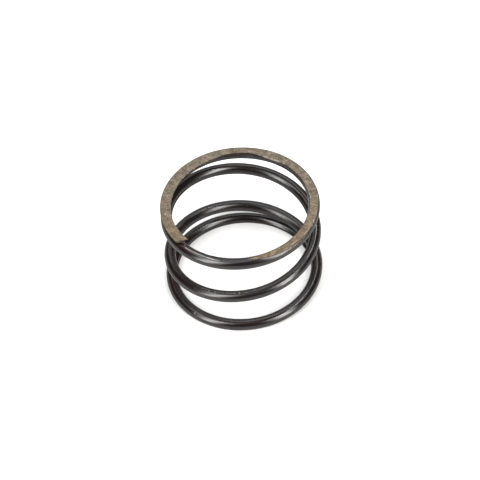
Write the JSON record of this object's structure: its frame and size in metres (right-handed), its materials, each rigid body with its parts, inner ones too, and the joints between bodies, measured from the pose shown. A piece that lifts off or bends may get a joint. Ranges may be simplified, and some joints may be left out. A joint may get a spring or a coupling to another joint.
{
  "type": "compression spring",
  "caption": "Short, wide helical compression spring of round steel wire, with both end coils closed and ground flat.",
  "frame": {"origin": "centre of the lower ground end, on the coil's axis", "axes": "+Z along the coil's axis to the upper ground end, +X through the wire's lower tip; the wire climbs anticlockwise seen from above"},
  "size_m": [0.0276, 0.0276, 0.0177],
  "materials": {
    "spring_steel": "oil-tempered dark grey spring steel, with the two end faces ground to bare metal"
  },
  "bodies": {
    "root": {"spring_wire": "spring_steel"}
  },
  "joints": []
}
